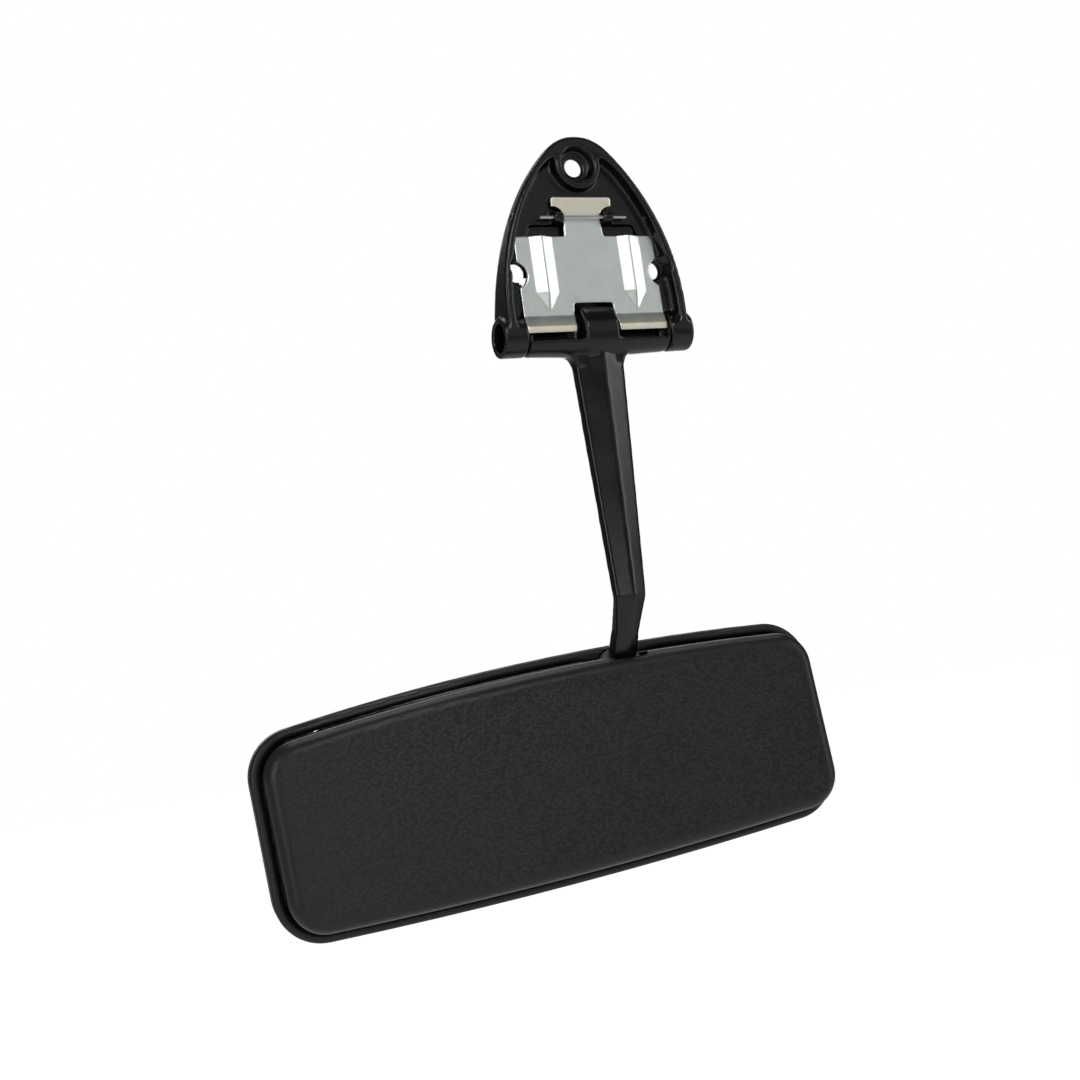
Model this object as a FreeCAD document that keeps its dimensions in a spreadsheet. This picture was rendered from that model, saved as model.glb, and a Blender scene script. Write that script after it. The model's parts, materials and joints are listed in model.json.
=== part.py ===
"""Interior rearview mirror with a folding arm, as a parametric assembly.

The base is an arch-shaped hollow casting that is screwed to the car with its open side
towards -Y. A leaf spring and a wire sit in its hollow. The arm folds on two trunnions in the
base's bosses, and the mirror head turns on a ball at the end of the arm's neck.

Frame: millimetres, +X to the right, +Y into the cabin, +Z up. The origin is the middle of the
line between the two side screws, on the mounting face.
"""
import FreeCAD, Part
import math
import os

import Sketcher

Vector = FreeCAD.Vector

doc = FreeCAD.newDocument("rearview_mirror")
sheet = doc.addObject("Spreadsheet::Sheet", "dims")

SIZES = {
    # Base casting
    "base_half_width": 35.2, "base_apex": 47.5, "base_side_radius": 83.0, "base_arc_start": 15.2,
    "base_wall": 3.0, "base_apex_wall": 5.3, "base_skin": 2.2, "base_edge_round": 2.8,
    "base_depth_low": 15.4, "base_depth_top": 8.6, "base_bulge_top": 22.0,
    "base_bulge_radius": 130.0, "ledge_wall": 8.4, "floor_step": 16.5, "skin_gap_above_hinge": 3.6,
    # Screws that hold the base to the car
    "screw_spacing": 54.0, "top_screw_height": 37.5, "screw_hole_radius": 3.3,
    "counterbore_radius": 5.2, "counterbore_depth": 2.0, "screw_web": 2.0,
    "side_spot_radius": 4.7, "top_boss_radius": 9.0, "top_spot_radius": 6.2, "top_boss_setback": 0.6,
    # Hinge between base and arm
    "hinge_drop": 23.4, "hinge_depth": 7.1, "boss_radius": 7.1, "boss_inner": 28.1,
    "boss_outer": 37.2, "visor_bore_radius": 5.25, "bush_radius": 4.8, "bush_length": 3.6, "trunnion_radius": 3.2,
    "running_gap": 0.05, "side_gap": 0.3, "barrel_clearance": 0.6,
    # Leaf spring and its wire
    "leaf_thickness": 0.8, "plate_face": 4.0, "plate_half_width": 27.8, "plate_top": 12.2,
    "plate_corner": 2.0, "tab_half_width": 11.9, "tab_top": 26.0, "tab_height": 3.5,
    "tab_corner": 1.2, "tab_face": 2.3, "neck_top": 19.4, "neck_half_width": 7.2,
    "neck_fold_face": 3.6, "neck_fold": 18.6, "plate_fold": 16.8, "lip_fold": 16.6,
    "lip_bend": 20.8, "lip_bottom": 23.0, "lip_face": 2.4, "lip_end_face": 2.4,
    "side_notch_radius": 4.9, "side_notch_drop": 1.6, "mid_notch_top": 12.4,
    "mid_notch_half_top": 7.5, "mid_notch_half_low": 8.5,
    "rib_inner": 12.8, "rib_outer": 21.8, "rib_height": 1.3, "rib_end": 15.0, "rib_taper": 6.5,
    "rib_foot_share": 0.08,
    "wire_radius": 0.6, "wire_half_length": 17.0, "wire_height": 18.5, "wire_gap": 0.05,
    "wire_setback": 0.15,
    "lug_inner": 7.9, "lug_width": 4.0, "lug_radius": 1.9,
    # Arm
    "barrel_end_radius": 7.1, "barrel_mid_radius": 8.2, "barrel_cut": 2.6,
    "tongue_half_width": 6.5, "tongue_reach": 9.4, "tongue_front": 7.6, "tongue_tip": 2.6,
    "tongue_radius": 12.0, "stalk_drop": 94.1, "stalk_top_half": 10.1, "stalk_low_half": 6.0,
    "stalk_top_offset": 0.6, "knee_offset": 2.34, "stalk_ridge_top": 5.6, "stalk_ridge_low": 4.6,
    "root_round": 3.4, "root_drop": 7.2, "root_inset": 0.4, "gusset_half_depth": 3.4,
    "stalk_edge": 2.2, "stalk_back_top": 2.6, "stalk_back_low": 1.8, "stalk_start": 2.0,
    "neck_mid_half": 4.6, "neck_mid_share": 0.42, "neck_end_half": 5.0, "neck_ridge": 3.4,
    "neck_edge": 2.4, "neck_back": 2.9,
    # Ball joint
    "ball_back": 17.34, "ball_drop": 120.2, "ball_radius": 9.3, "ball_flat": 6.4, "neck_gap": 0.25,
    "pin_radius": 2.0, "pin_in_neck": 9.0, "pin_in_ball": 6.0, "pin_end_gap": 0.4,
    "ball_gap": 0.1, "liner_thickness": 1.1, "liner_top": 3.0, "liner_back": 6.0,
    "rest_tilt": -1.4, "rest_yaw": -8.6, "rest_roll": -3.9,
    # Head
    "ball_off_centre": 30.6, "ball_behind": 4.8, "ball_above": 29.2,
    "head_half_length": 105.1, "head_top": 40.1, "head_top_rise": 6.5, "head_bottom": 40.3,
    "head_bottom_rise": 2.9, "head_corner": 17.0,
    "rim_wall": 3.9, "rim_back": 2.0, "rim_lip_inset": 5.8, "rim_lip": 1.2, "rim_round": 1.9,
    "shell_gap": 0.5, "shell_wall": 1.8, "shell_depth": 16.2, "shell_round": 5.2,
    "carrier_face": 7.2, "carrier_thickness": 1.0, "pad_thickness": 0.8, "pad_inset": 12.0,
    "glass_thickness": 2.5, "glass_gap": 0.2, "glass_bevel": 0.4, "pad_hole_gap": 0.5,
    "slot_left": 11.5, "slot_right": 16.0, "slot_back": 11.6, "slot_front": 4.0, "slot_floor": 1.0,
    "notch_left": 7.0, "notch_right": 9.2, "notch_back": 14.4, "relief_gap": 0.7, "slot_corner": 2.0,
    # Socket inside the head
    "socket_half_width": 16.4, "socket_back": 6.0, "socket_below": 14.0, "socket_top": 1.2,
    "retainer_thickness": 1.5, "retainer_screw_x": 13.6, "retainer_screw_y": 3.0,
    "small_screw_radius": 1.25, "small_head_radius": 2.3, "small_head_height": 1.2,
    "small_screw_length": 6.0, "screw_radius": 1.5, "screw_head_radius": 2.6,
    "screw_length": 8.0, "socket_screw_x": 13.2, "socket_screw_below": 9.0,
    "carrier_screw_inset": 19.1, "carrier_screw_z": 21.0, "post_radius": 4.0,
}

for row, (alias, value) in enumerate(SIZES.items(), start=1):
    sheet.set(f"A{row}", alias.replace("_", " "))
    sheet.set(f"B{row}", str(value))
    sheet.setAlias(f"B{row}", alias)
doc.recompute()


class Dim:
    """A length that is both a number and the spreadsheet expression it comes from."""

    def __init__(self, value, text):
        self.value = value
        self.text = text

    @staticmethod
    def of(other):
        return other if isinstance(other, Dim) else Dim(float(other), repr(float(other)))

    def join(self, sign, other, value):
        return Dim(value, f"({self.text} {sign} {other.text})")

    def __add__(self, other):
        other = Dim.of(other)
        return self.join("+", other, self.value + other.value)

    def __sub__(self, other):
        other = Dim.of(other)
        return self.join("-", other, self.value - other.value)

    def __mul__(self, other):
        other = Dim.of(other)
        return self.join("*", other, self.value * other.value)

    def __truediv__(self, other):
        other = Dim.of(other)
        return self.join("/", other, self.value / other.value)

    def __radd__(self, other):
        return Dim.of(other) + self

    def __rsub__(self, other):
        return Dim.of(other) - self

    def __rmul__(self, other):
        return Dim.of(other) * self

    def __neg__(self):
        return Dim(-self.value, f"(-1 * {self.text})")

    def root(self):
        return Dim(math.sqrt(self.value), f"sqrt({self.text})")


def dim(alias):
    """The sheet's value of that alias, bound to its cell."""
    return Dim(float(sheet.get(alias)), f"dims.{alias}")


def bind(item, prop, size):
    """Bind one property to the sheet, or set it where it is a plain number."""
    size = Dim.of(size)
    if "dims." in size.text:
        item.setExpression(prop, size.text)
    else:
        item.setExpression(prop, None)
        target, _, last = prop.rpartition(".")
        if not target:
            setattr(item, last, size.value)
        else:
            base = item.Placement.Base
            setattr(base, last, size.value)
            item.Placement = FreeCAD.Placement(base, item.Placement.Rotation)


def put(item, at, rotation=None):
    """Place an object, with each coordinate bound to the sheet."""
    at = [Dim.of(part) for part in at]
    item.Placement = FreeCAD.Placement(Vector(*[part.value for part in at]), rotation or FreeCAD.Rotation())
    for axis, part in zip("xyz", at):
        if "dims." in part.text:
            item.setExpression(f"Placement.Base.{axis}", part.text)
    return item


DIRECTION = {
    "x": FreeCAD.Rotation(Vector(0, 1, 0), 90), "-x": FreeCAD.Rotation(Vector(0, 1, 0), -90),
    "y": FreeCAD.Rotation(Vector(1, 0, 0), -90), "-y": FreeCAD.Rotation(Vector(1, 0, 0), 90),
    "z": FreeCAD.Rotation(), "-z": FreeCAD.Rotation(Vector(1, 0, 0), 180),
}
# A sketch's own x and y on each drawing plane: front is X and Z, side is Y and Z.
PLANE = {"front": FreeCAD.Rotation(Vector(1, 0, 0), 90), "side": FreeCAD.Rotation(Vector(1, 1, 1), 120),
         "top": FreeCAD.Rotation()}
PULL = {"front": Vector(0, 1, 0), "side": Vector(1, 0, 0), "top": Vector(0, 0, 1)}


def cylinder(name, radius, length, at, along="z"):
    item = doc.addObject("Part::Cylinder", name)
    bind(item, "Radius", radius)
    bind(item, "Height", length)
    return put(item, at, DIRECTION[along])


def cone(name, radius_1, radius_2, length, at, along="z"):
    item = doc.addObject("Part::Cone", name)
    bind(item, "Radius1", radius_1)
    bind(item, "Radius2", radius_2)
    bind(item, "Height", length)
    return put(item, at, DIRECTION[along])


def box(name, low, high):
    """A box between two corners."""
    item = doc.addObject("Part::Box", name)
    for prop, first, last in zip(("Length", "Width", "Height"), low, high):
        bind(item, prop, Dim.of(last) - Dim.of(first))
    return put(item, low)


def sphere(name, radius, at=(0, 0, 0)):
    item = doc.addObject("Part::Sphere", name)
    bind(item, "Radius", radius)
    return put(item, at)


def cut(name, base, *tools):
    """The base less each tool, in turn."""
    for number, tool in enumerate(tools, start=1):
        item = doc.addObject("Part::Cut", name if number == len(tools) else f"{name}_less_{number}")
        item.Base, item.Tool = base, tool
        base = item
    return base


def fuse(name, *shapes):
    item = doc.addObject("Part::MultiFuse", name)
    item.Shapes = list(shapes)
    item.Refine = True
    return item


def common(name, *shapes):
    item = doc.addObject("Part::MultiCommon", name)
    item.Shapes = list(shapes)
    return item


def arc_between(start, end, radius, turn):
    """The arc from start to end that turns left (turn 1) or right (turn -1), and its end order."""
    chord = end - start
    half = chord.Length / 2
    rise = math.sqrt(max(radius ** 2 - half ** 2, 0.0))
    left = Vector(-chord.y, chord.x, 0).normalize()
    centre = (start + end) / 2 + left * (rise * turn)
    first, last = (start, end) if turn > 0 else (end, start)
    angles = [math.atan2(point.y - centre.y, point.x - centre.x) for point in (first, last)]
    if angles[1] < angles[0]:
        angles[1] += 2 * math.pi
    circle = Part.Circle(centre, Vector(0, 0, 1), radius)
    return Part.ArcOfCircle(circle, *angles), ((1, 2) if turn > 0 else (2, 1))


def sketch(name, plane, points, arcs=None, at=(0, 0, 0)):
    """A closed outline whose corners are all dimensioned from the origin.

    points are pairs of lengths in order, anticlockwise. arcs gives, for the number of the corner
    that a side starts from, its radius and which way it turns, where that side is an arc.
    """
    arcs = arcs or {}
    item = doc.addObject("Sketcher::SketchObject", name)
    put(item, at, PLANE[plane])
    corners = [Vector(Dim.of(x).value, Dim.of(y).value, 0) for x, y in points]
    ends = []
    for number, corner in enumerate(corners):
        following = corners[(number + 1) % len(corners)]
        if number in arcs:
            curve, order = arc_between(corner, following, arcs[number][0].value, arcs[number][1])
        else:
            curve, order = Part.LineSegment(corner, following), (1, 2)
        item.addGeometry(curve, False)
        ends.append(order)
    for number, (x, y) in enumerate(points):
        following = (number + 1) % len(points)
        item.addConstraint(Sketcher.Constraint("Coincident", number, ends[number][1],
                                               following, ends[following][0]))
        for kind, axis, size in (("DistanceX", -2, Dim.of(x)), ("DistanceY", -1, Dim.of(y))):
            if size.value == 0.0:
                item.addConstraint(Sketcher.Constraint("PointOnObject", number, ends[number][0], axis))
                continue
            index = item.addConstraint(Sketcher.Constraint(kind, -1, 1, number, ends[number][0], size.value))
            if "dims." in size.text:
                item.setExpression(f"Constraints[{index}]", size.text)
        if number in arcs:
            radius = arcs[number][0]
            index = item.addConstraint(Sketcher.Constraint("Radius", number, radius.value))
            item.setExpression(f"Constraints[{index}]", radius.text)
    return item


def pull(name, outline, plane, length, start=0):
    """A solid from an outline, pulled straight, starting that far along."""
    item = doc.addObject("Part::Extrusion", name)
    item.Base = outline
    item.DirMode = "Custom"
    item.Dir = PULL[plane]
    item.Solid = True
    bind(item, "LengthFwd", length)
    along = {"front": "y", "side": "x", "top": "z"}[plane]
    return put(item, [start if axis == along else 0 for axis in "xyz"])


def inset(name, outline, distance):
    """An outline that far inside another."""
    item = doc.addObject("Part::Offset2D", name)
    item.Source = outline
    item.Join = 0
    bind(item, "Value", -distance)
    return item


def round_edges(name, base, chosen):
    """Round the edges that the test picks, each with the radius that it gives."""
    return treat_edges(name, base, "Part::Fillet", chosen)


def treat_edges(name, base, kind, chosen):
    """Round or chamfer the edges that the test picks, each by the size that it gives."""
    doc.recompute()
    item = doc.addObject(kind, name)
    item.Base = base
    picked = []
    for number, edge in enumerate(base.Shape.Edges, start=1):
        radius = chosen(edge)
        if radius:
            picked.append((number, radius, radius))
    item.Edges = picked
    return item


def mirrored_points(right):
    """Close a symmetric outline from its right half, which runs from top to bottom."""
    return right[::-1] + [(-Dim.of(x), y) for x, y in right]


# ---------------------------------------------------------------- base

hinge_y = dim("hinge_depth")
hinge_z = -dim("hinge_drop")
wire_y = dim("neck_fold_face") - dim("wire_radius") - dim("wire_setback")


def arch(name, half_width, apex):
    """The base's outline: straight sides that lean over into an arched top."""
    radius, start = dim("base_side_radius"), -dim("base_arc_start")
    reach = radius - half_width
    rise = apex - start
    top_radius = (radius * radius - reach * reach - rise * rise) / (2 * (radius - rise))
    share = radius / (radius - top_radius)
    touch_x = reach * share - reach
    touch_z = start + (rise - top_radius) * share
    points = [(-half_width, hinge_z), (half_width, hinge_z), (half_width, start), (touch_x, touch_z),
              (-touch_x, touch_z), (-half_width, start)]
    return sketch(name, "front", points, {2: (radius, 1), 3: (top_radius, 1), 4: (radius, 1)})


def base_side(name, thinner):
    """The base seen from the side: deep at the hinge, shallow at the apex."""
    low, top = dim("base_depth_low") - thinner, dim("base_depth_top") - thinner
    above = dim("base_apex") + 2
    points = [(-1, hinge_z - 2), (low, hinge_z - 2), (low, -dim("base_arc_start")),
              (top, dim("base_bulge_top")), (top, above), (-1, above)]
    return sketch(name, "side", points, {2: (dim("base_bulge_radius") + thinner, -1)})


def build_base_casting():
    reach = dim("base_half_width") + 5
    outline = arch("base_outline", dim("base_half_width"), dim("base_apex"))
    block = common("base_block", pull("base_arch", outline, "front", dim("base_depth_low") + 2),
                   pull("base_profile", base_side("base_side_view", Dim.of(0)), "side", 2 * reach, -reach))
    front = dim("base_depth_top").value - 0.5
    radius = dim("base_edge_round").value

    def on_cabin_rim(edge):
        """Whether an edge bounds the cabin side and isn't one of the level lines across it."""
        points = edge.discretize(5)
        return min(point.y for point in points) > front and edge.BoundBox.ZLength > 0.5
    rounded = round_edges("base_rounded", block, lambda edge: radius if on_cabin_rim(edge) else 0)

    wall = dim("base_wall")
    inner = arch("inner_outline", dim("base_half_width") - wall, dim("base_apex") - dim("base_apex_wall"))
    shallow = pull("shallow_hollow", inner, "front", dim("plate_face") + dim("leaf_thickness") + 1, -1)
    ledge = arch("ledge_outline", dim("base_half_width") - dim("ledge_wall"),
                 dim("base_apex") - dim("ledge_wall"))
    deep = common("deep_block", pull("deep_arch", ledge, "front", dim("base_depth_low")),
                  pull("deep_profile", base_side("deep_side_view", dim("base_skin")), "side",
                       2 * reach, -reach))
    above_step = box("above_step", (-reach, -5, dim("floor_step")),
                     (reach, dim("base_depth_low") + 5, dim("base_apex") + 5))
    deep = cut("deep_hollow", deep, above_step)

    inner_x = dim("boss_inner")
    opening = box("hinge_opening", (-inner_x, -5, hinge_z - 5),
                  (inner_x, dim("base_depth_low") + 5, hinge_z + dim("skin_gap_above_hinge")))
    relief = cylinder("barrel_relief", dim("barrel_mid_radius") + dim("barrel_clearance"),
                      2 * inner_x, (-inner_x, hinge_y, hinge_z), "x")
    hollowed = cut("base_hollowed", rounded, shallow, deep, opening, relief)

    boss_length = dim("boss_outer") - inner_x
    bosses = [cylinder("boss_right", dim("boss_radius"), boss_length, (inner_x, hinge_y, hinge_z), "x"),
              cylinder("boss_left", dim("boss_radius"), boss_length, (-inner_x, hinge_y, hinge_z), "-x")]
    top_z = dim("top_screw_height")
    top_floor = dim("base_depth_top") - dim("counterbore_depth") - dim("screw_web")
    bosses.append(cylinder("top_boss", dim("top_boss_radius"), dim("base_depth_top") - dim("top_boss_setback") - 1,
                           (0, dim("top_boss_setback"), top_z), "y"))
    floor = dim("plate_face") + dim("leaf_thickness")
    for side, sign in (("right", 1), ("left", -1)):
        middle = dim("lug_inner") + dim("lug_width") / 2
        low_x = sign * middle - dim("lug_width") / 2
        bosses.append(cylinder(f"lug_round_{side}", dim("lug_radius"), dim("lug_width"),
                               (low_x, wire_y, dim("wire_height")), "x"))
        bosses.append(box(f"lug_foot_{side}", (low_x, wire_y, dim("wire_height") - dim("lug_radius")),
                          (low_x + dim("lug_width"), floor + 0.5, dim("wire_height") + dim("lug_radius"))))
    solid = fuse("base_solid", hollowed, *bosses)

    bore_length = 2 * dim("boss_outer") + 4
    socket_x = inner_x + dim("bush_length")
    tools = [cylinder("bush_bore", dim("bush_radius"), bore_length, (-dim("boss_outer") - 2, hinge_y, hinge_z), "x"),
             cylinder("visor_bore_right", dim("visor_bore_radius"), bore_length, (socket_x, hinge_y, hinge_z), "x"),
             cylinder("visor_bore_left", dim("visor_bore_radius"), bore_length, (-socket_x, hinge_y, hinge_z), "-x"),
             cylinder("wire_bore", dim("wire_radius") + dim("wire_gap"), 2 * dim("base_half_width"),
                      (-dim("base_half_width"), wire_y, dim("wire_height")), "x"),
             cylinder("top_spot", dim("top_spot_radius"), top_floor + 1, (0, -1, top_z), "y"),
             cylinder("top_hole", dim("screw_hole_radius"), 30, (0, -5, top_z), "y"),
             cylinder("top_counterbore", dim("counterbore_radius"), 20,
                      (0, top_floor + dim("screw_web"), top_z), "y")]
    web = side_web_face()
    for side, sign in (("right", 1), ("left", -1)):
        x = sign * dim("screw_spacing") / 2
        tools.append(cylinder(f"side_spot_{side}", dim("side_spot_radius"), web + 1, (x, -1, 0), "y"))
        tools.append(cylinder(f"side_hole_{side}", dim("screw_hole_radius"), 30, (x, -5, 0), "y"))
        tools.append(cylinder(f"side_counterbore_{side}", dim("counterbore_radius"), 20,
                              (x, web + dim("screw_web"), 0), "y"))
    return cut("base_casting_solid", solid, *tools)


def side_web_face():
    """How deep the side screws' spot faces lie: a counterbore and a web short of the skin's face."""
    low, top = dim("base_depth_low"), dim("base_depth_top")
    share = dim("base_arc_start") / (dim("base_arc_start") + dim("base_bulge_top"))
    skin_face = low - (low - top) * share - 1.2
    return skin_face - dim("counterbore_depth") - dim("screw_web")


def build_leaf_spring():
    half = dim("plate_half_width")
    notch, notch_z = dim("side_notch_radius"), -dim("side_notch_drop")
    tab, corner = dim("tab_half_width"), dim("tab_corner")
    low_tab = dim("tab_top") - dim("tab_height")
    right = [(tab - corner, dim("tab_top")), (tab, dim("tab_top") - corner), (tab, low_tab),
             (dim("neck_half_width"), dim("neck_top")), (dim("neck_half_width") + 0.7, dim("plate_top")),
             (half - dim("plate_corner"), dim("plate_top")), (half, dim("plate_top") - dim("plate_corner")),
             (half, notch_z + notch * 0.96), (half, notch_z - notch * 0.96), (half, -dim("lip_bottom")),
             (dim("mid_notch_half_low"), -dim("lip_bottom")), (dim("mid_notch_half_top"), -dim("mid_notch_top"))]
    count = len(right)
    # The right half is listed from bottom to top in the closed outline, the left from top down.
    def right_arc(position):
        return count - 2 - position

    def left_arc(position):
        return count + position
    arcs = {}
    for position, radius, turn in ((0, corner, 1), (2, (tab - dim("neck_half_width")) * 0.9, -1),
                                   (5, dim("plate_corner"), 1), (7, notch, -1)):
        arcs[right_arc(position)] = (radius, turn)
        arcs[left_arc(position)] = (radius, turn)
    outline = sketch("leaf_outline", "front", mirrored_points(right), arcs)
    thick = dim("leaf_thickness")
    near = [(dim("tab_face"), dim("tab_top") + 0.2), (dim("neck_fold_face"), dim("neck_fold")),
            (dim("plate_face"), dim("plate_fold")), (dim("plate_face"), -dim("lip_fold")),
            (dim("lip_face"), -dim("lip_bend")), (dim("lip_end_face"), -dim("lip_bottom") - 0.2)]
    far = [(y + thick, z) for y, z in near[::-1]]
    band = sketch("leaf_side_view", "side", near + far)
    blank = pull("leaf_band", band, "side", 2 * half + 4, -half - 2)

    def rib(name, sign, back):
        """A pressed rib: a ridge from above the plate's top edge that narrows to a point at its foot."""
        face = dim("plate_face") + back
        middle = sign * (dim("rib_inner") + dim("rib_outer")) / 2
        half = (dim("rib_outer") - dim("rib_inner")) / 2
        sections = []
        for level, height, share in (("top", dim("plate_top") + 1, 1.0),
                                     ("shoulder", dim("rib_taper") - dim("rib_end"), 1.0),
                                     ("foot", -dim("rib_end"), dim("rib_foot_share"))):
            reach = half * share
            sections.append(sketch(f"{name}_{level}", "top", [
                (middle + reach, face + thick / 2), (middle - reach, face + thick / 2), (middle - reach, face),
                (middle, face - dim("rib_height") * share), (middle + reach, face)], at=(0, 0, height)))
        return loft(name, sections)

    raised = [rib("rib_right", 1, Dim.of(0)), rib("rib_left", -1, Dim.of(0))]
    sunk = [rib("rib_hollow_right", 1, thick), rib("rib_hollow_left", -1, thick)]
    sheet_metal = cut("leaf_formed", fuse("leaf_ribbed", blank, *raised), *sunk)
    shape = pull("leaf_blank", outline, "front", dim("base_depth_low"), -5)
    return common("leaf_spring_solid", sheet_metal, shape)


def build_retaining_wire():
    return cylinder("wire_solid", dim("wire_radius"), 2 * dim("wire_half_length"),
                    (-dim("wire_half_length"), wire_y, dim("wire_height")), "x")


def build_hinge_bush(side, along, sign):
    start = (sign * dim("boss_inner"), hinge_y, hinge_z)
    body = cylinder(f"bush_body_{side}", dim("bush_radius"), dim("bush_length"), start, along)
    bore = cylinder(f"bush_bore_{side}", dim("trunnion_radius") + dim("running_gap"), dim("bush_length") + 2,
                    (sign * (dim("boss_inner") - 1), hinge_y, hinge_z), along)
    return cut(f"bush_{side}", body, bore)


# ---------------------------------------------------------------- arm

knee_y = hinge_y + dim("knee_offset")
knee_z = hinge_z - dim("stalk_drop")
ball_y = hinge_y + dim("ball_back")
ball_z = hinge_z - dim("ball_drop")
BALL = Vector(0, ball_y.value, ball_z.value)
NECK_AXIS = (Vector(0, knee_y.value, knee_z.value) - BALL).normalize()
NECK_LENGTH = (Vector(0, knee_y.value, knee_z.value) - BALL).Length
NECK_TURN = FreeCAD.Rotation(Vector(0, 0, 1), NECK_AXIS)


def roof(name, half, ridge, edge, back):
    """A bar's cross section in its own plane: flat back, straight edges, and a ridge on the near side."""
    return sketch(name, "top", [(-half, back), (-half, -edge), (0, -ridge), (half, -edge), (half, back)])


def loft(name, sections):
    item = doc.addObject("Part::Loft", name)
    item.Sections = sections
    item.Solid = True
    item.Ruled = True
    return item


def build_arm_casting():
    end_x = dim("boss_inner") - dim("side_gap")
    barrel = [cone("barrel_right", dim("barrel_mid_radius"), dim("barrel_end_radius"), end_x,
                   (0, hinge_y, hinge_z), "x"),
              cone("barrel_left", dim("barrel_mid_radius"), dim("barrel_end_radius"), end_x,
                   (0, hinge_y, hinge_z), "-x")]
    quarter = box("barrel_quarter", (-end_x - 1, hinge_y - 12, hinge_z - dim("barrel_cut")),
                  (end_x + 1, hinge_y, hinge_z + 12))
    barrel = cut("barrel_cut_away", fuse("barrel", *barrel), quarter)
    trunnion = cylinder("trunnions", dim("trunnion_radius"),
                        2 * (dim("boss_inner") + dim("bush_length") - dim("side_gap")),
                        (-dim("boss_inner") - dim("bush_length") + dim("side_gap"), hinge_y, hinge_z), "x")
    inside = cylinder("trunnion_gap", dim("trunnion_radius") + 2, 2 * (end_x - 3), (-end_x + 3, hinge_y, hinge_z), "x")
    trunnion = cut("trunnion_ends", trunnion, inside)

    reach, front, tip = dim("tongue_reach"), dim("tongue_front"), dim("tongue_tip")
    tongue_view = sketch("tongue_view", "side", [
        (hinge_y, hinge_z - 4), (hinge_y, hinge_z - dim("barrel_cut") + 1.5), (hinge_y - tip, hinge_z + reach),
        (hinge_y - tip - 1.8, hinge_z + reach - 0.2), (hinge_y - front, hinge_z - 3),
        (hinge_y - front + 1, hinge_z - 5)], {3: (dim("tongue_radius"), 1)})
    tongue = pull("tongue", tongue_view, "side", 2 * dim("tongue_half_width"), -dim("tongue_half_width"))

    top = roof("stalk_top", dim("stalk_top_half"), dim("stalk_ridge_top"), dim("stalk_edge"), dim("stalk_back_top"))
    put(top, (0, hinge_y + dim("stalk_top_offset"), hinge_z - dim("stalk_start")))
    knee = roof("stalk_knee", dim("stalk_low_half"), dim("stalk_ridge_low"), dim("stalk_edge"), dim("stalk_back_low"))
    put(knee, (0, knee_y, knee_z))
    stalk = loft("stalk", [top, knee])

    root, start = dim("root_round"), hinge_z - dim("root_drop")
    side = dim("stalk_top_half") - dim("root_inset")
    gusset_view = sketch("gusset_view", "front", [
        (-side, start - root), (side, start - root), (side + root, start), (side + root, start + root),
        (-side - root, start + root), (-side - root, start)], {1: (root, -1), 5: (root, -1)})
    gusset = pull("gusset", gusset_view, "front", 2 * dim("gusset_half_depth"),
                  hinge_y + dim("stalk_top_offset") - dim("gusset_half_depth"))

    middle = roof("neck_middle", dim("neck_mid_half"), dim("neck_ridge"), dim("neck_edge"), dim("neck_back"))
    end = roof("neck_end", dim("neck_end_half"), dim("neck_ridge"), dim("neck_edge"), dim("neck_back"))
    face = dim("ball_flat").value + dim("neck_gap").value
    along = NECK_LENGTH * (1 - dim("neck_mid_share").value)
    middle.Placement = FreeCAD.Placement(BALL + NECK_AXIS * along, NECK_TURN)
    end.Placement = FreeCAD.Placement(BALL + NECK_AXIS * face, NECK_TURN)
    neck = loft("neck", [knee, middle, end])
    pin_hole = cylinder("pin_hole", dim("pin_radius"), dim("pin_in_neck") + 1, (0, 0, 0))
    pin_hole.Placement = FreeCAD.Placement(BALL + NECK_AXIS * (face - 1), NECK_TURN)
    solid = fuse("arm_solid", barrel, trunnion, tongue, stalk, gusset, neck)
    return cut("arm_casting_solid", solid, pin_hole)


def build_ball_pin():
    item = cylinder("pin_solid", dim("pin_radius"), dim("pin_in_ball") + dim("ball_flat") + dim("neck_gap")
                    + dim("pin_in_neck"), (0, 0, 0))
    item.Placement = FreeCAD.Placement(BALL - NECK_AXIS * dim("pin_in_ball").value, NECK_TURN)
    return item


def build_pivot_ball():
    radius = dim("ball_radius")
    flat = box("ball_flat_cut", (-radius - 1, -radius - 1, dim("ball_flat")), (radius + 1, radius + 1, radius + 2))
    depth = dim("pin_in_ball") + dim("pin_end_gap")
    bore = cylinder("ball_bore", dim("pin_radius") + dim("running_gap"), depth + dim("ball_flat") + 1, (0, 0, -depth))
    item = cut("ball_solid", sphere("ball_sphere", radius), flat, bore)
    item.Placement = FreeCAD.Placement(BALL, NECK_TURN)
    return item


# ---------------------------------------------------------------- head
# Everything below is drawn in the head's own frame: x along the head, y out of the glass, z up,
# with the origin at the middle of its outline.

HEAD_TURN = (FreeCAD.Rotation(Vector(1, 0, 0), dim("rest_tilt").value)
             * FreeCAD.Rotation(Vector(0, 0, 1), dim("rest_yaw").value)
             * FreeCAD.Rotation(Vector(0, 1, 0), dim("rest_roll").value))
ball_x, ball_in, ball_up = dim("ball_off_centre"), -dim("ball_behind"), dim("ball_above")
HEAD = FreeCAD.Placement(BALL - HEAD_TURN.multVec(Vector(ball_x.value, ball_in.value, ball_up.value)), HEAD_TURN)


def in_head(item):
    item.Placement = HEAD
    return item


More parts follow.
